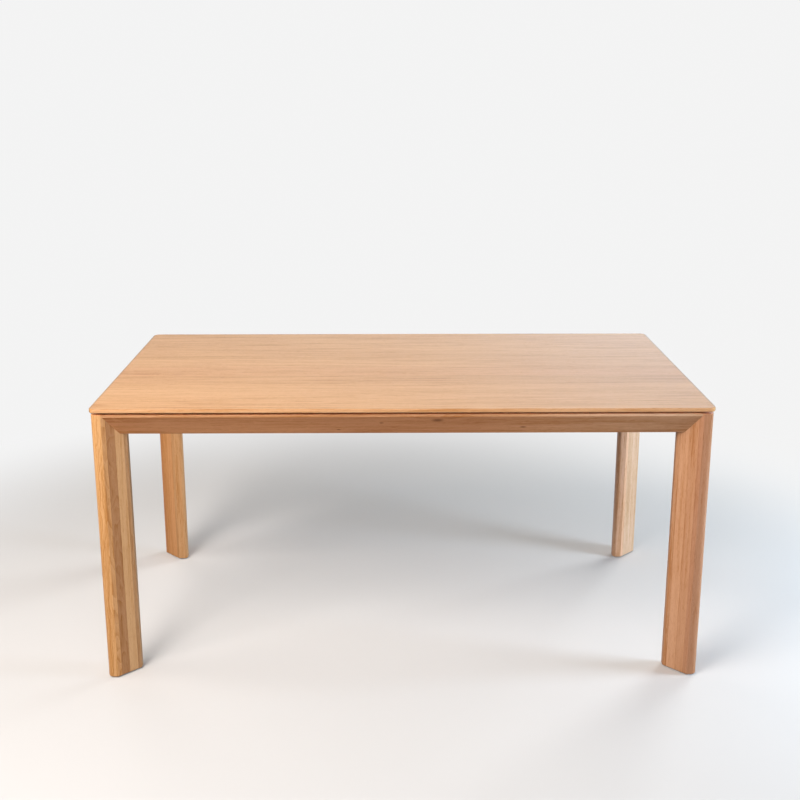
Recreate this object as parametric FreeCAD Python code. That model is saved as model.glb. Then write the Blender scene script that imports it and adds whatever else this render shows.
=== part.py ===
"""Oak dining table: a thin edge-glued top on a bevelled rail frame with four sliced diagonal legs.

Millimetres. +Z up, X along the table, the front faces -Y. The origin is on the floor under the middle of the top.
Inward distances are counted from the edges of the top: `along` from its left end, `across` from its front edge.
"""
import FreeCAD, Part
import math
import os
from FreeCAD import Vector

# Whole table
table_length = 1600.0
table_depth = 900.0
table_height = 755.0
cut_overrun = 5.0
match_tolerance = 0.001

# Top: boards glued edge to edge, with a long shallow bevel underneath that leaves a dark gap over the frame
top_thickness = 17.0
top_edge_height = 10.0
top_undercut = 32.0
top_arris_radius = 2.0
top_lower_radius = 3.0
board_width_shares = (0.131, 0.152, 0.102, 0.115, 0.109, 0.117, 0.124, 0.150)

# Legs: a square post with two opposite corners sliced off, glued from staves across its diagonal
leg_inset = 4.0
leg_square = 80.0
leg_slab = 38.0
leg_outer_radius = 15.0
leg_inner_radius = 11.0
leg_crease_radius = 2.5
leg_foot_chamfer = 1.5
leg_stave_count = 4
leg_seat_width = 25.0
leg_notch_gap = 1.0

# Rails: an upright lip under the top, then a long bevel down to a narrow foot
rail_setback = 3.0
rail_thickness = 43.5
rail_height = 60.0
rail_lip = 6.0
rail_foot_width = 8.0
rail_edge_radius = 1.5
rail_foot_radius = 3.0

# Corner blocks behind the legs
block_thickness = 30.0
block_height = 44.0
block_top_gap = 6.0
block_edge_radius = 1.5

# Leg bolts with their washers and threaded inserts
bolt_radius = 4.0
bolt_length = 50.0
bolt_spacing = 22.0
bolt_head_flats = 13.0
bolt_head_height = 5.3
bolt_clearance = 0.5
washer_radius = 8.0
washer_thickness = 1.6
insert_radius = 6.0
insert_length = 24.0
insert_collar_radius = 8.0
insert_collar_height = 2.0
insert_end_gap = 3.0

# Wood screws: one pattern in three lengths
screw_radius = 2.0
screw_head_radius = 4.0
screw_head_height = 2.5
screw_head_rounding = 1.0
screw_drive_flats = 2.5
screw_drive_depth = 1.5
screw_tip = 4.0
screw_end_gap = 1.0
block_screw_length = 20.0
block_screw_grip = 8.0
block_screw_share = 2 / 3
button_screw_length = 30.0
cross_screw_length = 40.0
round_clearance = 0.3
head_clearance = 0.6

# Buttons that hold the top down on the rails and let it shrink and swell
button_length = 28.0
button_width = 24.0
button_height = 18.0
button_tongue_length = 10.0
button_tongue_height = 6.0
button_slot_gap = 1.0
button_edge_radius = 2.0
long_rail_button_shares = (-0.34, -0.15, 0.15, 0.34)
short_rail_button_shares = (-0.2, 0.2)

# Cross rail in the middle, doweled into the long rails and screwed to the top through slots
cross_rail_width = 26.0
cross_rail_height = 46.0
cross_rail_edge_radius = 2.0
dowel_radius = 4.0
dowel_length = 30.0
dowel_chamfer = 1.0
dowel_end_gap = 1.0
dowel_spacing = 22.0
cross_screw_shares = (-0.3, 0.0, 0.3)
cross_slot_travel = 6.0
cross_washer_radius = 5.0
cross_washer_thickness = 1.0

# Glides nailed under each leg
glide_radius = 10.0
glide_height = 3.0
glide_chamfer = 0.8
glide_offset = 33.0
nail_radius = 1.2
nail_length = 16.0
nail_head_radius = 3.0
nail_head_height = 1.0
nail_head_recess = 1.4

# Worked out from the sizes above
up = Vector(0, 0, 1)
inward = Vector(1, 1, 0).normalize()
sideways = Vector(1, -1, 0).normalize()
quarter_turn = 90.0
top_underside = table_height - top_thickness
top_corner_radius = leg_inset + leg_outer_radius
slice_reach = leg_slab / math.sqrt(2)
leg_outer = leg_inset
leg_inner = leg_inset + leg_square
leg_middle = (leg_outer + leg_inner) / 2
rail_outer = leg_inset + rail_setback
rail_inner = rail_outer + rail_thickness
rail_bottom = top_underside - rail_height
block_top = top_underside - block_top_gap
block_bottom = block_top - block_height
block_middle = (block_top + block_bottom) / 2
bolt_heights = (block_middle - bolt_spacing / 2, block_middle + bolt_spacing / 2)
seat_reach = math.sqrt(2) * leg_inner - leg_seat_width / 2
block_reach = seat_reach + block_thickness
block_screw_along = math.sqrt(2) * (seat_reach + block_thickness * block_screw_share) - rail_inner
corner_names = ("front_left", "front_right", "back_left", "back_right")


def corner_point(along, across, height):
    """A point by its inward distances from the front left corner of the top."""
    return Vector(along - table_length / 2, across - table_depth / 2, height)


def diagonal_point(reach, height):
    """A point on the front left leg's diagonal, by its distance in from the corner of the top."""
    return corner_point(reach / math.sqrt(2), reach / math.sqrt(2), height)


def rounded_face(corners):
    """Flat face through (point, radius) corners, each rounded by an arc tangent to its two sides."""
    turns = []
    for index, (point, radius) in enumerate(corners):
        before = (corners[index - 1][0] - point).normalize()
        after = (corners[(index + 1) % len(corners)][0] - point).normalize()
        half_angle = before.getAngle(after) / 2
        reach = radius / math.tan(half_angle)
        middle = point + (before + after).normalize() * (radius / math.sin(half_angle) - radius)
        turns.append((radius, point + before * reach, middle, point + after * reach))
    edges = []
    for turn, following in zip(turns, turns[1:] + turns[:1]):
        radius, start, middle, end = turn
        if radius > 0:
            edges.append(Part.Arc(start, middle, end).toShape())
        edges.append(Part.makeLine(end, following[1]))
    return Part.Face(Part.Wire(edges))


def sharp_face(points):
    """Flat face through points with plain corners."""
    return rounded_face([(point, 0) for point in points])


def placed(shape, base, direction):
    """A shape made along +Z at the origin, moved to a base and turned to a direction."""
    moved = shape.copy()
    moved.Placement = FreeCAD.Placement(base, FreeCAD.Rotation(up, direction))
    return moved


def mirrored(shape, name):
    """A front left shape carried to a named corner."""
    if "right" in name:
        shape = shape.mirror(Vector(), Vector(1, 0, 0))
    if "back" in name:
        shape = shape.mirror(Vector(), Vector(0, 1, 0))
    return shape


def to_side(shape):
    """A shape made at the front of a table, turned to the left side of the table."""
    turned = shape.copy()
    turned.rotate(Vector(), up, -quarter_turn)
    return turned


def on_all_sides(front_solids, left_solids):
    """Solids made at the front and on the left, carried to the back and to the right too."""
    solids = []
    for name in ("front", "back"):
        solids += [mirrored(solid, name) for solid in front_solids]
    for name in ("left", "right"):
        solids += [mirrored(solid, name) for solid in left_solids]
    return solids


def hexagon_prism(flats, height):
    """Hexagonal prism along +Z, by its width across flats."""
    corner = flats / math.sqrt(3)
    angles = [math.pi / 3 * index for index in range(6)]
    face = sharp_face([Vector(corner * math.cos(angle), corner * math.sin(angle), 0) for angle in angles])
    return face.extrude(up * height)


def circles_at(shape, height):
    """Circular edges of a shape along +Z that lie at a height."""
    circles = [edge for edge in shape.Edges if edge.Curve.TypeId == "Part::GeomCircle"]
    return [edge for edge in circles if abs(edge.CenterOfMass.z - height) < match_tolerance]


def wood_screw(length):
    """Pan head screw along +Z, its head's flat seat at the origin."""
    head = Part.makeCylinder(screw_head_radius, screw_head_height, Vector(0, 0, -screw_head_height))
    head = head.makeFillet(screw_head_rounding, circles_at(head, -screw_head_height))
    drive = hexagon_prism(screw_drive_flats, screw_drive_depth)
    drive.translate(Vector(0, 0, -screw_head_height))
    shank = Part.makeCylinder(screw_radius, length - screw_tip)
    tip = Part.makeCone(screw_radius, 0, screw_tip, Vector(0, 0, length - screw_tip))
    return head.cut(drive).fuse([shank, tip]).removeSplitter()


def screw_hole(length):
    """Pilot hole for a wood screw along +Z, from its head's seat to past its tip."""
    return Part.makeCylinder(screw_radius + round_clearance, length + screw_end_gap)


def hex_bolt():
    """Leg bolt along +Z, its head's flat seat at the origin."""
    head = hexagon_prism(bolt_head_flats, bolt_head_height)
    head.translate(Vector(0, 0, -bolt_head_height))
    return head.fuse(Part.makeCylinder(bolt_radius, bolt_length)).removeSplitter()


def flat_washer(radius, bore_radius, thickness):
    """Flat washer along +Z."""
    return Part.makeCylinder(radius, thickness).cut(Part.makeCylinder(bore_radius, thickness))


def threaded_insert():
    """Collared insert along +Z, the collar's outer face at the origin."""
    collar = Part.makeCylinder(insert_collar_radius, insert_collar_height)
    sleeve = Part.makeCylinder(insert_radius, insert_length)
    bore = Part.makeCylinder(bolt_radius + round_clearance, insert_length)
    return collar.fuse(sleeve).removeSplitter().cut(bore)


def insert_hole():
    """Stepped hole in the leg for an insert and the end of its bolt."""
    collar = Part.makeCylinder(insert_collar_radius + round_clearance, insert_collar_height)
    depth = max(insert_length, bolt_length - block_thickness) + insert_end_gap
    return collar.fuse(Part.makeCylinder(insert_radius + round_clearance, depth))


def bevel_waste(run, span):
    """What is cut away under the front edge of a top with this run along the edge and this span across it."""
    slope = (top_thickness - top_edge_height) / top_undercut
    places = (
        (top_undercut, top_underside),
        (top_undercut, top_underside - cut_overrun),
        (-cut_overrun, top_underside - cut_overrun),
        (-cut_overrun, table_height - top_edge_height + slope * cut_overrun),
    )
    start = -run / 2 - cut_overrun
    section = sharp_face([Vector(start, across - span / 2, height) for across, height in places])
    return section.extrude(Vector(run + cut_overrun * 2, 0, 0))


def make_top(screw_holes):
    """The whole top: a thin upright edge, softened above and below, with a bevel underneath on all sides.

    Its corners follow the legs' outer corners.
    """
    signs = ((-1, -1), (1, -1), (1, 1), (-1, 1))
    corners = [Vector(sx * table_length / 2, sy * table_depth / 2, top_underside) for sx, sy in signs]
    slab = rounded_face([(corner, top_corner_radius) for corner in corners]).extrude(up * top_thickness)
    arris = [edge for edge in slab.Edges if edge.BoundBox.ZMin > top_underside + top_thickness / 2]
    slab = slab.makeFillet(top_arris_radius, arris)
    front_waste = bevel_waste(table_length, table_depth)
    left_waste = to_side(bevel_waste(table_depth, table_length))
    slab = slab.cut(on_all_sides([front_waste], [left_waste]))
    edge_bottom = table_height - top_edge_height
    above_bevel = [edge for edge in slab.Edges if edge.BoundBox.ZMin > (top_underside + edge_bottom) / 2]
    lower_arris = [edge for edge in above_bevel if edge.CenterOfMass.z < edge_bottom + match_tolerance]
    return slab.makeFillet(top_lower_radius, lower_arris).cut(screw_holes)


def split_boards(top):
    """The boards of the top, from the front edge to the back edge."""
    boards = []
    front = -table_depth / 2
    for index, share in enumerate(board_width_shares):
        width = table_depth * share / sum(board_width_shares)
        first = cut_overrun if index == 0 else 0
        last = cut_overrun if index == len(board_width_shares) - 1 else 0
        corner = Vector(-table_length / 2 - cut_overrun, front - first, top_underside - cut_overrun)
        size = (table_length + cut_overrun * 2, width + first + last, top_thickness + cut_overrun * 2)
        boards.append(top.common(Part.makeBox(*size, corner)))
        front += width
    return boards


def leg_outline(height):
    """Plan of the front left leg: rounded outer and inner corners with a slice off each side."""
    near, far = leg_outer, leg_inner
    plan = (
        (near, near, leg_outer_radius),
        (near + slice_reach, near, leg_crease_radius),
        (far, far - slice_reach, leg_crease_radius),
        (far, far, leg_inner_radius),
        (far - slice_reach, far, leg_crease_radius),
        (near, near + slice_reach, leg_crease_radius),
    )
    return rounded_face([(corner_point(along, across, height), radius) for along, across, radius in plan])


def diagonal_band(start, stop, bottom, top):
    """A slab square to the leg's diagonal, from one reach to another, wider than the leg."""
    spread = sideways * leg_square
    near, far = diagonal_point(start, bottom), diagonal_point(stop, bottom)
    return sharp_face([near - spread, far - spread, far + spread, near + spread]).extrude(up * (top - bottom))


def make_leg():
    """The front left leg with its seat for the corner block, its insert holes and nail holes."""
    leg = leg_outline(glide_height).extrude(up * (top_underside - glide_height))
    foot = [edge for edge in leg.Edges if edge.BoundBox.ZMax < glide_height + leg_foot_chamfer]
    leg = leg.makeChamfer(leg_foot_chamfer, foot)
    notch_bottom = block_bottom - leg_notch_gap
    cuts = [diagonal_band(seat_reach, seat_reach + leg_square, notch_bottom, top_underside + cut_overrun)]
    for height in bolt_heights:
        cuts.append(placed(insert_hole(), diagonal_point(seat_reach, height), -inward))
    for reach in glide_reaches():
        hole = Part.makeCylinder(nail_radius + round_clearance, nail_length + screw_end_gap)
        cuts.append(placed(hole, diagonal_point(reach, nail_head_recess), up))
    return leg.cut(cuts)


def split_staves(leg):
    """The staves of a leg, from its outer corner to its inner corner."""
    first = math.sqrt(2) * leg_outer + leg_outer_radius * (math.sqrt(2) - 1)
    last = math.sqrt(2) * leg_inner - leg_inner_radius * (math.sqrt(2) - 1)
    width = (last - first) / leg_stave_count
    staves = []
    for index in range(leg_stave_count):
        start = first + width * index - (cut_overrun if index == 0 else 0)
        stop = first + width * (index + 1) + (cut_overrun if index == leg_stave_count - 1 else 0)
        staves.append(leg.common(diagonal_band(start, stop, 0, table_height)))
    return staves


def glide_reaches():
    """Places of the two glides along a leg's diagonal."""
    middle = math.sqrt(2) * leg_middle
    return (middle - glide_offset, middle + glide_offset)


def make_glides():
    """Two round glides under the front left leg, recessed for their nails."""
    disc = Part.makeCylinder(glide_radius, glide_height)
    disc = disc.makeChamfer(glide_chamfer, circles_at(disc, 0))
    recess = Part.makeCylinder(nail_head_radius + round_clearance, nail_head_recess)
    bore = Part.makeCylinder(nail_radius + round_clearance, glide_height)
    disc = disc.cut([recess, bore])
    return [placed(disc, diagonal_point(reach, 0), up) for reach in glide_reaches()]


def make_nails():
    """Nails that hold the front left glides, their heads against the bottom of the recess."""
    head = Part.makeCylinder(nail_head_radius, nail_head_height, Vector(0, 0, -nail_head_height))
    nail = head.fuse(Part.makeCylinder(nail_radius, nail_length)).removeSplitter()
    return [placed(nail, diagonal_point(reach, nail_head_recess), up) for reach in glide_reaches()]


def block_screw_seats():
    """Seats of the screws through the front left block into the front rail."""
    across = rail_inner + block_screw_grip
    return [corner_point(block_screw_along, across, height) for height in bolt_heights]


def swapped(point):
    """A point of the front left corner, carried over its diagonal to the other rail."""
    along = point.x + table_length / 2
    across = point.y + table_depth / 2
    return corner_point(across, along, point.z)


def make_block():
    """Front left corner block between the two rails, bored for the leg bolts and the rail screws."""
    near = math.sqrt(2) * seat_reach - rail_inner
    far = math.sqrt(2) * block_reach - rail_inner
    plan = ((near, rail_inner), (far, rail_inner), (rail_inner, far), (rail_inner, near))
    block = sharp_face([corner_point(*place, block_bottom) for place in plan]).extrude(up * block_height)
    edges = [edge for edge in block.Edges if edge.Curve.Direction.cross(sideways).Length < match_tolerance]
    block = block.makeFillet(block_edge_radius, edges)
    cuts = []
    for height in bolt_heights:
        bore = Part.makeCylinder(bolt_radius + bolt_clearance, block_thickness)
        cuts.append(placed(bore, diagonal_point(seat_reach, height), inward))
    for seat in block_screw_seats():
        for base, direction in ((seat, Vector(0, -1, 0)), (swapped(seat), Vector(-1, 0, 0))):
            cuts.append(placed(screw_hole(block_screw_length), base, direction))
            pocket = Part.makeCylinder(screw_head_radius + head_clearance, block_thickness)
            cuts.append(placed(pocket, base, -direction))
    return block.cut(cuts)


def make_leg_fixings():
    """Bolts, washers and inserts of the front left leg, and the screws of its corner block."""
    fixings = {"leg_bolts": [], "bolt_washers": [], "leg_inserts": [], "block_screws": []}
    washer = flat_washer(washer_radius, bolt_radius + round_clearance, washer_thickness)
    for height in bolt_heights:
        head_seat = diagonal_point(block_reach + washer_thickness, height)
        fixings["leg_bolts"].append(placed(hex_bolt(), head_seat, -inward))
        fixings["bolt_washers"].append(placed(washer, diagonal_point(block_reach, height), inward))
        fixings["leg_inserts"].append(placed(threaded_insert(), diagonal_point(seat_reach, height), -inward))
    screw = wood_screw(block_screw_length)
    for seat in block_screw_seats():
        fixings["block_screws"].append(placed(screw, seat, Vector(0, -1, 0)))
        fixings["block_screws"].append(placed(screw, swapped(seat), Vector(-1, 0, 0)))
    return fixings


def button_places(run, shares):
    """Places of the buttons along a rail, as shares of the run of the top's edge."""
    return [run * share for share in shares]


def make_rail(run, span, shares):
    """Front rail of a top with this run along the rail and this span across it, cut at 45 degrees at the legs."""
    def at(across, height):
        return Vector(-run / 2, across - span / 2, height)

    section = rounded_face([
        (at(rail_outer, top_underside), 0),
        (at(rail_inner, top_underside), 0),
        (at(rail_inner, rail_bottom), rail_edge_radius),
        (at(rail_inner - rail_foot_width, rail_bottom), rail_foot_radius),
        (at(rail_outer, top_underside - rail_lip), rail_edge_radius),
    ])
    bar = section.extrude(Vector(run, 0, 0))
    plan = []
    for across, side in ((rail_outer, -1), (rail_outer, 1), (rail_inner, 1), (rail_inner, -1)):
        end = run / 2 - across - slice_reach
        plan.append(Vector(side * end, across - span / 2, rail_bottom - cut_overrun))
    mitres = sharp_face(plan).extrude(up * (rail_height + cut_overrun * 2))
    cuts = []
    for place in button_places(run, shares):
        width = button_width + button_slot_gap * 2
        depth = button_tongue_length + button_slot_gap
        tongue_bottom = top_underside - button_height
        corner = Vector(place - width / 2, rail_inner - depth - span / 2, tongue_bottom - button_slot_gap)
        cuts.append(Part.makeBox(width, depth + cut_overrun, button_tongue_height + button_slot_gap, corner))
    for seat in block_screw_seats():
        for side in (-1, 1):
            base = Vector(side * (run / 2 - block_screw_along), rail_inner + block_screw_grip - span / 2, seat.z)
            cuts.append(placed(screw_hole(block_screw_length), base, Vector(0, -1, 0)))
    return bar.common(mitres).cut(cuts)


def make_buttons(run, span, shares):
    """Buttons along a front rail and their screws, the tongues in the rail's slots."""
    buttons = []
    screws = []
    bottom = top_underside - button_height
    for place in button_places(run, shares):
        wall = Vector(place, rail_inner - span / 2, bottom)
        half = Vector(button_width / 2, 0, 0)
        profile = (
            (0, button_tongue_height, 0),
            (0, button_height, 0),
            (button_length, button_height, button_edge_radius),
            (button_length, 0, button_edge_radius),
            (-button_tongue_length, 0, 0),
            (-button_tongue_length, button_tongue_height, 0),
        )
        side = rounded_face([(wall - half + Vector(0, out, rise), radius) for out, rise, radius in profile])
        seat = wall + Vector(0, button_length / 2, 0)
        buttons.append(side.extrude(half * 2).cut(placed(screw_hole(button_screw_length), seat, up)))
        screws.append(placed(wood_screw(button_screw_length), seat, up))
    return buttons, screws


def dowel_seats():
    """Middles of the dowels at the front end of the cross rail."""
    middle = top_underside - cross_rail_height / 2
    heights = (middle - dowel_spacing / 2, middle + dowel_spacing / 2)
    return [Vector(0, rail_inner - table_depth / 2, height) for height in heights]


def make_dowels():
    """Dowels between the front rail and the cross rail."""
    dowel = Part.makeCylinder(dowel_radius, dowel_length, Vector(0, 0, -dowel_length / 2))
    dowel = dowel.makeChamfer(dowel_chamfer, circles_at(dowel, -dowel_length / 2) + circles_at(dowel, dowel_length / 2))
    return [placed(dowel, seat, Vector(0, 1, 0)) for seat in dowel_seats()]


def dowel_holes():
    """Holes for the dowels at the front end of the cross rail."""
    reach = dowel_length + dowel_end_gap * 2
    hole = Part.makeCylinder(dowel_radius + round_clearance, reach, Vector(0, 0, -reach / 2))
    return [placed(hole, seat, Vector(0, 1, 0)) for seat in dowel_seats()]


def cross_screw_seats():
    """Washer seats inside the cross rail, set so that its screws end where the button screws do."""
    height = top_underside + button_screw_length - button_height - cross_screw_length + cross_washer_thickness
    return [Vector(0, table_depth * share, height) for share in cross_screw_shares]


def make_cross_rail():
    """Cross rail with dowel holes in its ends and slotted, counterbored screw holes from below."""
    bottom = top_underside - cross_rail_height
    length = table_depth - rail_inner * 2
    half = cross_rail_width / 2
    section = rounded_face([
        (Vector(-half, -length / 2, top_underside), 0),
        (Vector(half, -length / 2, top_underside), 0),
        (Vector(half, -length / 2, bottom), cross_rail_edge_radius),
        (Vector(-half, -length / 2, bottom), cross_rail_edge_radius),
    ])
    cuts = dowel_holes() + [hole.mirror(Vector(), Vector(0, 1, 0)) for hole in dowel_holes()]
    for seat in cross_screw_seats():
        below = Vector(seat.x, seat.y, bottom - cut_overrun)
        cuts.append(slot(cross_washer_radius + head_clearance, seat.z - below.z, below))
        cuts.append(slot(screw_radius + head_clearance, top_underside + cut_overrun - seat.z, seat))
    return section.extrude(Vector(0, length, 0)).cut(cuts)


def slot(radius, height, base):
    """Upright slot along Y, round at both ends, wide enough for the top's movement."""
    travel = Vector(0, cross_slot_travel / 2, 0)
    box = Part.makeBox(radius * 2, cross_slot_travel, height, base - travel - Vector(radius, 0, 0))
    ends = [Part.makeCylinder(radius, height, base + shift) for shift in (travel, -travel)]
    return box.fuse(ends).removeSplitter()


def make_cross_fixings():
    """Screws and washers that hold the top to the cross rail."""
    washer = flat_washer(cross_washer_radius, screw_radius + round_clearance, cross_washer_thickness)
    drop = Vector(0, 0, cross_washer_thickness)
    screws = [placed(wood_screw(cross_screw_length), seat - drop, up) for seat in cross_screw_seats()]
    washers = [placed(washer, seat - drop, up) for seat in cross_screw_seats()]
    return screws, washers


def make_table():
    """Every node of the table by name, each a list of solids."""
    nodes = {}
    front_buttons, front_screws = make_buttons(table_length, table_depth, long_rail_button_shares)
    left_buttons, left_screws = make_buttons(table_depth, table_length, short_rail_button_shares)
    left_buttons = [to_side(button) for button in left_buttons]
    left_screws = [to_side(screw) for screw in left_screws]
    button_screws = on_all_sides(front_screws, left_screws)
    cross_screws, cross_washers = make_cross_fixings()

    holes = [screw_hole_over(screw, button_screw_length) for screw in button_screws]
    holes += [screw_hole_over(screw, cross_screw_length) for screw in cross_screws]
    for index, board in enumerate(split_boards(make_top(holes))):
        nodes["top_board_%d" % (index + 1)] = [board]

    front_rail = make_rail(table_length, table_depth, long_rail_button_shares).cut(dowel_holes())
    left_rail = to_side(make_rail(table_depth, table_length, short_rail_button_shares))
    for name, rail in (("front", front_rail), ("back", front_rail), ("left", left_rail), ("right", left_rail)):
        nodes[name + "_rail"] = [mirrored(rail, name)]
    nodes["cross_rail"] = [make_cross_rail()]

    staves = split_staves(make_leg())
    single = {"corner_block": [make_block()], "glides": make_glides()}
    shared = dict(make_leg_fixings(), glide_nails=make_nails())
    for corner in corner_names:
        for index, stave in enumerate(staves):
            nodes["%s_leg_stave_%d" % (corner, index + 1)] = [mirrored(stave, corner)]
        for name, solids in single.items():
            nodes[corner + "_" + name] = [mirrored(solid, corner) for solid in solids]
        for name, solids in shared.items():
            nodes.setdefault(name, []).extend(mirrored(solid, corner) for solid in solids)

    nodes["top_buttons"] = on_all_sides(front_buttons, left_buttons)
    nodes["button_screws"] = button_screws
    nodes["cross_rail_dowels"] = [mirrored(dowel, name) for name in ("front", "back") for dowel in make_dowels()]
    nodes["cross_rail_screws"] = cross_screws
    nodes["cross_rail_washers"] = cross_washers
    return nodes


def screw_hole_over(screw, length):
    """Pilot hole on the axis of an upright screw, from its head's seat up."""
    box = screw.BoundBox
    return placed(screw_hole(length), Vector(box.Center.x, box.Center.y, box.ZMax - length), up)


def write_parts(nodes):
    """One file for each node."""
    os.makedirs("parts", exist_ok=True)
    for name, solids in nodes.items():
        shape = solids[0] if len(solids) == 1 else Part.makeCompound(solids)
        shape.exportStep("parts/%s.step" % name)


write_parts(make_table())
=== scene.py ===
"""Looks of the oak dining table: a finish for every piece, a pale studio and the camera."""
import math

import bpy
import numpy as np
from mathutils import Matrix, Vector


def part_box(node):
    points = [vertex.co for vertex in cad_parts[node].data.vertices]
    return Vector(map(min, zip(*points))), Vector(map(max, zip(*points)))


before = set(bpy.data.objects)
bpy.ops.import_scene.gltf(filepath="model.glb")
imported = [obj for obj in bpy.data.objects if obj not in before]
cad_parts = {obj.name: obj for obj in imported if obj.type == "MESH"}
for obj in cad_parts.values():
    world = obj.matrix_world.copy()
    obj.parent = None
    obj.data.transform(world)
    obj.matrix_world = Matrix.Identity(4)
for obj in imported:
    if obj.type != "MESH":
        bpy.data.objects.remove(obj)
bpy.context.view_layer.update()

# Camera, from the edges of the top and the feet of the legs (metres, degrees, millimetres of lens)
camera_place = (-0.0302, -3.3467, 1.5761)
camera_tilt = 15.395
camera_turn = 0.46
camera_roll = 0.03
camera_lens = 53.40
camera_sensor = 36.0
level_view = 90.0

# Oiled finish: share of full reflection, roughness, and depth of the open pores (metres)
wood_specular = 0.36
wood_roughness = 0.34
pore_roughness = 0.2
ray_smoothness = 0.04
late_height = 0.15
bump_strength = 0.25
bump_depth = 0.0004

# Growth rings (metres; sizes of noise run along the grain first, and the growth's run outwards first)
ring_width = 0.0034
plain_wave = (0.4, 0.012)
wander_width = 0.06
ripple_size = (0.05, 0.01, 0.01)
ripple_depth = ring_width * 0.6
growth_size = (0.011, 3.0, 3.0)
growth_rings = 2.0
early_span = (0.1, 0.5)
late_span = (0.45, 0.95)

# Pores, rays, streaks, clouds, fibres and flecks (metres), and the part of each noise that shows
pore_size = (0.012, 0.0005, 0.0005)
pore_span = (0.55, 0.68)
early_pores = 0.8
late_pores = 0.2
ray_size = (0.02, 0.0008, 0.02)
ray_span = (0.6, 0.74)
ray_radius = 0.1
streak_size = (0.26, 0.007, 0.007)
cloud_size = (0.9, 0.06, 0.06)
fibre_size = (0.05, 0.0018, 0.0018)
fleck_size = (0.022, 0.0024, 0.0024)
fleck_span = (0.54, 0.7)
low_detail = 1.0
plain_detail = 2.0
high_detail = 3.0
noise_middle = 0.5

# Depth of the wood's colour: its middle, and how much each layer of noise changes it
depth_middle = 0.46
cloud_share = 0.7
fibre_share = 0.8
fleck_share = 0.2
growth_share = 0.6
ring_share = 0.12

# Places of the pale, plain and deep tones on the scale of depth, and the change of light that makes each tone
pale_place = 0.1
plain_place = 0.5
deep_place = 0.9
pale_change = (1.1, 1.16, 1.28)
deep_change = (0.76, 0.62, 0.42)
ray_change = (1.15, 1.2, 1.28)
pore_change = (0.58, 0.43, 0.26)
knot_change = (0.36, 0.26, 0.18)
ray_cover = 0.4
pore_cover = 0.6
knot_cover = 0.85

# Knots: share of their length that counts, and the reach of the core and of the bent rings in knot radii
knot_shrink = 0.42
core_reach = 1.7
bend_reach = 8.0
bend_depth = 3.0

# Order of the axes for each direction of the grain: along it, then the two across it
grain_order = {"x": (0, 1, 2), "y": (1, 0, 2), "z": (2, 0, 1)}
x_axis = 0
y_axis = 1
z_axis = 2

# Sockets of the Mix node for colours
mix_factor = 0
mix_first = 6
mix_second = 7
mix_result = 2

black = (0.0, 0.0, 0.0, 1.0)
white = (1.0, 1.0, 1.0, 1.0)


def linear(colour):
    """Screen colour from 0 to 255 as linear light, with full alpha."""
    share = np.array(colour, float) / 255
    light = np.where(share <= 0.04045, share / 12.92, ((share + 0.055) / 1.055) ** 2.4)
    return (*light.tolist(), 1.0)


def shifted(colour, change):
    """Linear colour of a screen colour whose red, green and blue light are multiplied by a change."""
    light = np.array(linear(colour)[:3]) * np.array(change)
    return (*np.clip(light, 0, 1).tolist(), 1.0)


class Shade:
    """A value, colour or vector in a material. Arithmetic on values adds Math nodes."""

    def __init__(self, tree, socket):
        self.tree = tree
        self.socket = socket

    def node(self, kind, settings=None, inputs=None, output=0):
        """Adds a node of a kind: its settings are set first, then its sockets' values or links."""
        made = self.tree.nodes.new(kind)
        for name, value in (settings or {}).items():
            if name == "stops":
                set_stops(made.color_ramp, value)
            else:
                setattr(made, name, value)
        for key, value in (inputs or {}).items():
            if isinstance(value, Shade):
                self.tree.links.new(value.socket, made.inputs[key])
            else:
                made.inputs[key].default_value = value
        return Shade(self.tree, made.outputs[output])

    def maths(self, operation, *values):
        """Adds a Math node."""
        return self.node("ShaderNodeMath", {"operation": operation}, dict(enumerate(values)))

    def __add__(self, other):
        return self.maths("ADD", self, other)

    __radd__ = __add__

    def __sub__(self, other):
        return self.maths("SUBTRACT", self, other)

    def __rsub__(self, other):
        return self.maths("SUBTRACT", other, self)

    def __mul__(self, other):
        return self.maths("MULTIPLY", self, other)

    __rmul__ = __mul__

    def __truediv__(self, other):
        return self.maths("DIVIDE", self, other)

    def __pow__(self, other):
        return self.maths("POWER", self, other)

    def ease(self, low, high):
        """0 below low, 1 above high, smooth between."""
        inputs = {"Value": self, "From Min": low, "From Max": high}
        return self.node("ShaderNodeMapRange", {"interpolation_type": "SMOOTHSTEP"}, inputs)

    def blend(self, first, second, kind="MIX"):
        """Mix of two colours by this value."""
        settings = {"data_type": "RGBA", "blend_type": kind}
        inputs = {mix_factor: self, mix_first: first, mix_second: second}
        return self.node("ShaderNodeMix", settings, inputs, mix_result)

    def split(self):
        """The three parts of a vector."""
        parts = self.node("ShaderNodeSeparateXYZ", {}, {0: self}).socket.node
        return [Shade(self.tree, socket) for socket in parts.outputs]


def set_stops(ramp, stops):
    """Colour ramp from (place, colour) stops."""
    while len(ramp.elements) < len(stops):
        ramp.elements.new(1.0)
    for element, (place, colour) in zip(ramp.elements, stops):
        element.position = place
        element.color = colour


def new_material(name):
    """A material with its shader node and its Object coordinates."""
    material = bpy.data.materials.new(name)
    material.use_nodes = True
    tree = material.node_tree
    shader = tree.nodes["Principled BSDF"]
    place = Shade(tree, tree.nodes.new("ShaderNodeTexCoord").outputs["Object"])
    return material, shader, place


def connect(shader, **links):
    """Links values to a shader's sockets by name."""
    for name, value in links.items():
        value.tree.links.new(value.socket, shader.inputs[name.replace("_", " ")])


def ray_kinds(tree):
    """Whether a ray comes from the camera, and whether it comes from a glossy surface."""
    path = tree.nodes.new("ShaderNodeLightPath")
    return Shade(tree, path.outputs["Is Camera Ray"]), Shade(tree, path.outputs["Is Glossy Ray"])


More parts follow.
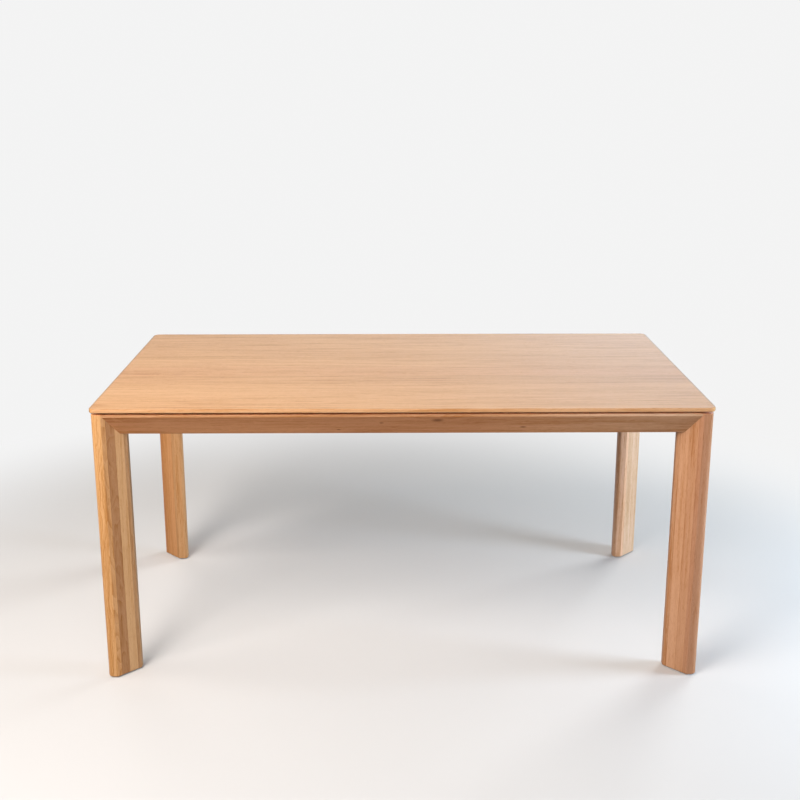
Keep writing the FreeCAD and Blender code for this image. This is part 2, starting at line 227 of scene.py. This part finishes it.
def noise(first, second, third, sizes, detail=plain_detail):
    """Noise whose lumps have the three given sizes along three values."""
    inputs = {index: value / size for index, (value, size) in enumerate(zip((first, second, third), sizes))}
    vector = first.node("ShaderNodeCombineXYZ", {}, inputs)
    return vector.node("ShaderNodeTexNoise", {}, {"Vector": vector, "Scale": 1.0, "Detail": detail})


def log_place(place, grain, pith, slope, seed):
    """Place in the log: along the grain, and in two directions out from the pith line."""
    offset = [-value for value in pith]
    parts = place.node("ShaderNodeMapping", {}, {0: place, "Location": offset}).split()
    along, first, second = (parts[index] for index in grain_order[grain])
    return along + seed, first - along * slope[0], second - along * slope[1]


def ring_radius(along, first, second, wave):
    """Distance from the pith line, with a slow wander and a fine ripple."""
    wander = noise(along, first, second, (wave[0], wander_width, wander_width))
    ripple = noise(along, first, second, ripple_size, low_detail)
    radius = (first * first + second * second) ** 0.5
    return radius + (wander - noise_middle) * wave[1] + (ripple - noise_middle) * ripple_depth


def knot_distance(place, grain, spot):
    """Distance from the middle of a knot, counted short along the grain, so that the knot is long."""
    shrink = [1.0, 1.0, 1.0]
    shrink[grain_order[grain][0]] = knot_shrink
    offset = place.node("ShaderNodeVectorMath", {"operation": "SUBTRACT"}, {0: place, 1: spot})
    offset = offset.node("ShaderNodeVectorMath", {"operation": "MULTIPLY"}, {0: offset, 1: shrink})
    return offset.node("ShaderNodeVectorMath", {"operation": "LENGTH"}, {0: offset}, output=1)


def tinted(wood, place, tints):
    """Wood with its tints: (axis, start, end, change of light) each."""
    for axis, start, end, change in tints:
        share = place.split()[axis].ease(start, end)
        wood = share.blend(wood, (*change, 1.0), "MULTIPLY")
    return wood


def oak(name, grain, pith, colour, slope, seed=0.0, streak=0.5, figure=1.0,
        knots=(), wave=plain_wave, tints=()):
    """Solid oak, oiled: growth rings round a pith line, pores in the early wood and rays out from the pith.

    The grain runs along one axis. The pith is a point of the row frame that the pith line passes through,
    and slope is that line's drift in the two cross directions for each metre of grain, which gives the
    arched figure of a board sawn off the middle of the log. Ring number = distance from the line, with slow
    wander, over the ring width. Streak and figure are how strongly the slow streaks and the rings show.
    Knots are (x, y, z, radius) in metres. Wave is the length and the depth of the rings' slow wander. Tints
    are (axis, start, end, change): between start and end along an axis the wood's red, green and blue light
    come to be multiplied by the change.
    """
    material, shader, place = new_material(name)
    along, first, second = log_place(place, grain, pith, slope, seed)
    radius = ring_radius(along, first, second, wave)
    knot_core = 0.0
    for x, y, z, size in knots:
        distance = knot_distance(place, grain, (x, y, z))
        radius = radius + (1 - distance.ease(0, size * bend_reach)) * (size * bend_depth)
        knot_core = (1 - distance.ease(0, size * core_reach)) + knot_core
    growth = noise(radius, along, along, growth_size, low_detail)
    count = radius / ring_width + growth * growth_rings
    ring = count.maths("FRACT", count)
    early = 1 - ring.ease(*early_span)
    late = ring.ease(*late_span)

    pores = noise(along, first, second, pore_size, low_detail).ease(*pore_span)
    pores = pores * (early * early_pores + late_pores)
    angle = first.maths("ARCTAN2", second, first)
    rays = noise(along, angle * ray_radius, radius, ray_size, low_detail).ease(*ray_span)
    streaks = noise(along, first, second, streak_size, high_detail) - noise_middle
    clouds = noise(along, first, second, cloud_size) - noise_middle
    fibres = noise(along, first, second, fibre_size) - noise_middle
    flecks = noise(along, first, second, fleck_size, low_detail).ease(*fleck_span)

    depth = streaks * streak + clouds * cloud_share + fibres * fibre_share + flecks * fleck_share
    rings = (growth - noise_middle) * growth_share + (late - early) * ring_share
    depth = depth + rings * figure + depth_middle
    pale = (pale_place, shifted(colour, pale_change))
    deep = (deep_place, shifted(colour, deep_change))
    stops = [pale, (plain_place, linear(colour)), deep]
    wood = depth.node("ShaderNodeValToRGB", {"stops": stops}, {0: depth})
    wood = (rays * ray_cover).blend(wood, shifted(colour, ray_change))
    wood = (pores * pore_cover).blend(wood, shifted(colour, pore_change))
    if knots:
        cover = knot_core.maths("MINIMUM", knot_core, knot_cover)
        wood = cover.blend(wood, shifted(colour, knot_change))
    wood = tinted(wood, place, tints)

    height = (1 - pores) + late * late_height
    bump_inputs = {"Strength": bump_strength, "Distance": bump_depth, "Height": height}
    bump = height.node("ShaderNodeBump", {}, bump_inputs)
    roughness = wood_roughness + pores * pore_roughness - rays * ray_smoothness
    shader.inputs["Specular IOR Level"].default_value = wood_specular
    connect(shader, Base_Color=wood, Roughness=roughness, Normal=bump)
    return material


# Plain finishes: size of their specks (metres), and how much the specks change the tone and the roughness
speck_size = 0.002
speck_tone = 0.08
speck_roughness = 0.2


def plain(name, colour, roughness, metallic=0.0):
    """Plain finish with a fine uneven tone."""
    material, shader, place = new_material(name)
    tone = noise(*place.split(), (speck_size, speck_size, speck_size), high_detail)
    dark = linear([channel * (1 - speck_tone) for channel in colour])
    uneven = roughness + (tone - noise_middle) * speck_roughness
    connect(shader, Base_Color=tone.blend(dark, linear(colour)), Roughness=uneven)
    shader.inputs["Metallic"].default_value = metallic
    return material


def paint(node, material):
    """Gives a CAD node its finish."""
    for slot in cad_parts[node].material_slots:
        slot.material = material


def middle(node):
    """Middle of a CAD node's box."""
    low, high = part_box(node)
    return np.array((low + high) / 2)


# Painted light on the tops of the legs and rails, seen in the gap under the top: 1.7 times lighter, so the
# shaded gap reads less dark
gap_painted_light_tints = ((z_axis, 0.7372, 0.7379, (1.7, 1.7, 1.7)),)

# Boards of the top, front to back: colour, pith beside and below the board, drift of the pith
top_boards = (
    ((207, 156, 103), (0.020, -0.090), (0.012, 0.020)),
    ((206, 155, 102), (-0.050, -0.070), (-0.010, -0.025)),
    ((201, 149, 96), (0.150, -0.050), (0.020, 0.000)),
    ((204, 151, 99), (-0.030, -0.120), (0.008, 0.030)),
    ((208, 157, 104), (0.060, -0.080), (-0.020, 0.020)),
    ((206, 155, 102), (-0.140, -0.040), (0.010, 0.004)),
    ((208, 157, 104), (0.030, -0.100), (-0.012, -0.030)),
    ((207, 156, 103), (-0.060, -0.080), (0.015, 0.018)),
)
board_streak = 1.6
board_figure = 0.8
board_seed = 1.7
# Painted shade on both ends of the top: the end faces and the arrises beside them are made darker and greyer
end_painted_shade = (0.66, 0.74, 0.95)
end_shade_tints = ((x_axis, 0.7925, 0.798, end_painted_shade), (x_axis, -0.7925, -0.798, end_painted_shade))
# Painted cool sheen on the front edge of the front board: bluer over its arris and edge face
front_edge_sheen_tints = ((y_axis, -0.4465, -0.4485, (0.98, 1.0, 1.2)),)
for index, (colour, pith, slope) in enumerate(top_boards):
    node = "top_board_%d" % (index + 1)
    spot = middle(node) + np.array((0.0, *pith))
    seed = board_seed * index
    tints = end_shade_tints + front_edge_sheen_tints if index == 0 else end_shade_tints
    paint(node, oak("oak_" + node, "x", spot, colour, slope, seed, board_streak, board_figure, tints=tints))

# Staves of each leg, outer to inner
leg_staves = {
    "front_left": ((203, 152, 100), (166, 116, 75), (197, 149, 102), (177, 133, 94)),
    "front_right": ((175, 124, 91), (187, 136, 100), (194, 143, 106), (187, 137, 101)),
    "back_left": ((176, 120, 75), (189, 133, 83), (193, 137, 88), (187, 139, 94)),
    # The back right leg's staves are paler: painted light, for the bright light from the right that falls on
    # that leg
    "back_right": ((199, 163, 133), (202, 166, 136), (198, 161, 130), (208, 163, 131)),
}
# Staves sawn off the middle of the log: pith from the stave's middle, drift of the pith, wave of the rings
arched_staves = {
    "front_left_leg_stave_1": ((-0.016, 0.016, 0.0), (0.02, -0.02), (0.13, 0.026)),
    "front_left_leg_stave_2": ((-0.010, 0.014, 0.0), (-0.015, 0.02), (0.2, 0.040)),
}
# Darker towards the inner side of the front left leg's outer stave
stave_tints = {"front_left_leg_stave_1": ((x_axis, -0.7715, -0.7665, (0.93, 0.86, 0.83)),)}
# Other staves: distance to the pith, its greatest drift, and steps of the turn and seed by stave and by leg
pith_distance = 0.045
pith_drift = 0.022
drift_turns = (2.3, 1.7)
stave_turn = 1.9
leg_turn = 1.1
stave_seed = 0.9
leg_seed = 3.3
stave_streak = 1.3
plain_figure = 0.65
arched_figure = 1.9
for leg, (corner, colours) in enumerate(leg_staves.items()):
    for index, colour in enumerate(colours):
        node = "%s_leg_stave_%d" % (corner, index + 1)
        turn = stave_turn * index + leg_turn * leg
        offset = pith_distance * np.array((math.cos(turn), math.sin(turn), 0.0))
        slope = (pith_drift * math.sin(drift_turns[0] * turn), pith_drift * math.cos(drift_turns[1] * turn))
        wave = plain_wave
        figure = plain_figure
        if node in arched_staves:
            offset, slope, wave = arched_staves[node]
            figure = arched_figure
        spot = middle(node) + np.array(offset)
        seed = stave_seed * index + leg_seed * leg
        tints = gap_painted_light_tints + stave_tints.get(node, ())
        finish = oak("oak_" + node, "z", spot, colour, slope, seed, stave_streak, figure,
                     wave=wave, tints=tints)
        paint(node, finish)

# Rails, with a few pin knots in the bevel of the front one, whose colour changes along it and from lip to
# bevel, with painted light on its right end and its lip
# Rail colour, darker and redder than the top's: painted shade, for the rails' place in shade under the top
rail_colour_painted_shade = (189, 130, 86)
rail_pith = (0.05, 0.05, -0.07)
rail_slope = (0.012, 0.02)
rail_streak = 1.3
rail_figure = 1.3
rail_seed = 3.1
front_knots = (
    (0.089, -0.4355, 0.7205, 0.0056),
    (0.31, -0.4205, 0.6975, 0.003),
    (-0.055, -0.430, 0.712, 0.0022),
    (-0.165, -0.4155, 0.690, 0.002),
)
front_tints = (
    # Darker in the middle of the front rail
    (x_axis, -0.35, -0.15, (0.93, 0.91, 0.91)),
    (x_axis, 0.15, 0.35, (1.075, 1.1, 1.1)),
    # Painted cool light from the right: paler and bluer towards the right end
    (x_axis, 0.1, 0.75, (1.03, 1.25, 1.58)),
    # A little darker over the upper bevel
    (z_axis, 0.695, 0.720, (0.94, 0.93, 0.93)),
    # Painted highlight on the lip: paler and bluer, for the light it catches under the top
    (z_axis, 0.7315, 0.7325, (1.2, 1.38, 1.6)),
)
for index, (side, grain) in enumerate((("front", "x"), ("back", "x"), ("left", "y"), ("right", "y"))):
    node = side + "_rail"
    spot = middle(node) + np.array(rail_pith)
    seed = rail_seed * index
    knots = front_knots if side == "front" else ()
    tints = gap_painted_light_tints + front_tints if side == "front" else gap_painted_light_tints
    finish = oak("oak_" + node, grain, spot, rail_colour_painted_shade, rail_slope, seed, rail_streak, rail_figure,
                 knots, tints=tints)
    paint(node, finish)

# Pieces inside the frame: oak, nylon glides, beech dowels and zinc-plated steel
inner_colour = (214, 170, 122)
inner_slope = (0.01, 0.01)
inner_pith = (0.05, 0.02, -0.08)
block_pith = (0.0, 0.06, -0.05)
nylon_colour = (84, 64, 48)
nylon_roughness = 0.55
beech_colour = (212, 172, 130)
beech_roughness = 0.6
steel_colour = (186, 188, 190)
steel_roughness = 0.34
for node, grain in (("cross_rail", "y"), ("top_buttons", "x")):
    paint(node, oak("oak_" + node, grain, middle(node) + np.array(inner_pith), inner_colour, inner_slope))
for corner in leg_staves:
    node = corner + "_corner_block"
    paint(node, oak("oak_" + node, "x", middle(node) + np.array(block_pith), inner_colour, inner_slope))
    paint(corner + "_glides", plain("nylon_" + corner, nylon_colour, nylon_roughness))
paint("cross_rail_dowels", plain("beech", beech_colour, beech_roughness))
steel = plain("zinc_steel", steel_colour, steel_roughness, 1.0)
for node in ("leg_bolts", "bolt_washers", "leg_inserts", "block_screws", "button_screws", "cross_rail_screws",
             "cross_rail_washers", "glide_nails"):
    paint(node, steel)

# Studio floor and backdrop (metres)
studio_half_width = 12.0
studio_near = -12.0
studio_far = 5.5
studio_height = 6.0
studio_bend = 1.0
bend_points = 25

# Paper: colours, how it glows to the camera away from the table, and the heights over which it counts as wall
floor_seen = (208, 206, 205)
floor_bounce = (140, 137, 134)
wall_bounce = (240, 239, 238)
paper_roughness = 0.9
paper_glow = 0.9
paper_strength = 2.0
glow_distances = (1.25, 2.4)
wall_heights = (0.0, 0.6)

# What gloss sees of the wall: brighter to the right, dimmer higher up, and cooler low on the right
shine_base = 0.2
shine_left = 0.31
shine_gain = 0.92
shine_sides = (-3.2, 3.2)
shine_low = 1.6
shine_drop = 0.95
shine_heights = (1.65, 2.4)
cool_shine = (0.97, 1.25, 1.5, 1.0)
cool_sides = (0.0, 2.0)
cool_drop = 0.7
cool_heights = (1.9, 2.4)

# What gloss sees of the room, and the faint light of the room itself
room_shine = 0.4
room_level = 0.01


def sweep(name, half_width, near, far, height, bend):
    """Floor that turns up into a backdrop: a flat run, a quarter circle and an upright, carried along X."""
    turn = np.linspace(0, math.pi / 2, bend_points)
    depth = np.concatenate([[near], far - bend + bend * np.sin(turn), [far]])
    rise = np.concatenate([[0], bend - bend * np.cos(turn), [height]])
    rows = len(depth)
    points = np.zeros((2, rows, 3))
    points[:, :, 0] = np.array([[-half_width], [half_width]])
    points[:, :, 1] = depth
    points[:, :, 2] = rise
    first = np.arange(rows - 1)
    faces = np.stack([first, first + rows, first + rows + 1, first + 1], 1)
    mesh = bpy.data.meshes.new(name)
    mesh.from_pydata(points.reshape(-1, 3).tolist(), [], faces.tolist())
    mesh.shade_smooth()
    made = bpy.data.objects.new(name, mesh)
    bpy.context.scene.collection.objects.link(made)
    return made


def studio_paper(name):
    """Matt paper: keeps shadows near the table, glows to the camera farther off and in gloss behind."""
    material, shader, place = new_material(name)
    across, depth, height = place.split()
    wall = height.ease(*wall_heights)
    away = ((across * across + depth * depth) ** 0.5).ease(*glow_distances)
    side = across.ease(*shine_sides)
    seen, gloss = ray_kinds(place.tree)
    low = shine_low - shine_drop * height.ease(*shine_heights)
    shine = low * (shine_left + shine_gain * side) + shine_base
    glow = seen * away * (paper_glow / paper_strength)
    glow = glow + (1 - seen) * gloss * wall * shine * (1 / paper_strength)
    cool = across.ease(*cool_sides) * (1 - cool_drop * height.ease(*cool_heights))
    tone = ((1 - seen) * cool).blend(white, cool_shine)
    backdrop = (1 - seen).blend(black, linear(wall_bounce))
    floor = seen.blend(linear(floor_bounce), linear(floor_seen))
    part = seen * away + (1 - seen) * wall
    connect(shader, Base_Color=part.blend(floor, backdrop), Emission_Color=glow.blend(black, tone))
    shader.inputs["Emission Strength"].default_value = paper_strength
    shader.inputs["Roughness"].default_value = paper_roughness
    shader.inputs["Specular IOR Level"].default_value = 0.0
    return material


def soft_light(name, place, target, size, power, colour):
    """Square soft light at a place, aimed at a target."""
    lamp = bpy.data.lights.new(name, "AREA")
    lamp.energy = power
    lamp.size = size
    lamp.color = colour
    holder = bpy.data.objects.new(name, lamp)
    holder.location = place
    aim = Vector(target) - Vector(place)
    holder.rotation_euler = aim.to_track_quat("-Z", "Y").to_euler()
    holder.visible_camera = False
    holder.visible_glossy = False
    bpy.context.scene.collection.objects.link(holder)


studio = sweep("studio_floor", studio_half_width, studio_near, studio_far, studio_height, studio_bend)
studio.data.materials.append(studio_paper("studio_paper"))

# Soft lights: name, place, target, size (metres), power (watts), colour
soft_lights = (
    ("key_light", (-1.5, -1.8, 2.6), (0, 0, 0.6), 1.4, 75, (1.0, 0.94, 0.88)),
    ("corner_light", (-1.6, -3.0, 2.2), (0, 0, 0.6), 1.2, 56, (1.0, 0.95, 0.9)),
    ("left_light", (-3.0, -0.6, 2.0), (0, 0, 0.5), 1.6, 30, (1.0, 0.95, 0.89)),
    ("front_light", (0.3, -3.6, 1.2), (0, 0, 0.5), 1.6, 28, (0.91, 0.95, 1.0)),
    ("back_light", (2.6, 2.4, 1.9), (0.3, 0.2, 0.6), 1.6, 93, (0.93, 0.98, 1.0)),
    ("rear_light", (-2.4, 2.8, 1.9), (0, 0, 0.5), 1.6, 25, (1.0, 0.97, 0.94)),
    ("low_light", (2.9, -0.6, 0.62), (0, 0, 0.4), 0.9, 92, (0.74, 0.9, 1.06)),
)
for light in soft_lights:
    soft_light(*light)

world = bpy.data.worlds.new("studio_world")
bpy.context.scene.world = world
world.use_nodes = True
seen, gloss = ray_kinds(world.node_tree)
level = seen * paper_glow + (1 - seen) * gloss * room_shine + room_level
connect(world.node_tree.nodes["Background"], Color=level.blend(black, white))

camera = bpy.data.cameras.new("camera")
camera.lens = camera_lens
camera.sensor_width = camera_sensor
viewer = bpy.data.objects.new("camera", camera)
viewer.location = camera_place
viewer.rotation_euler = np.radians((level_view - camera_tilt, camera_roll, -camera_turn))
bpy.context.scene.collection.objects.link(viewer)
bpy.context.scene.camera = viewer
bpy.context.scene.view_settings.view_transform = "Standard"
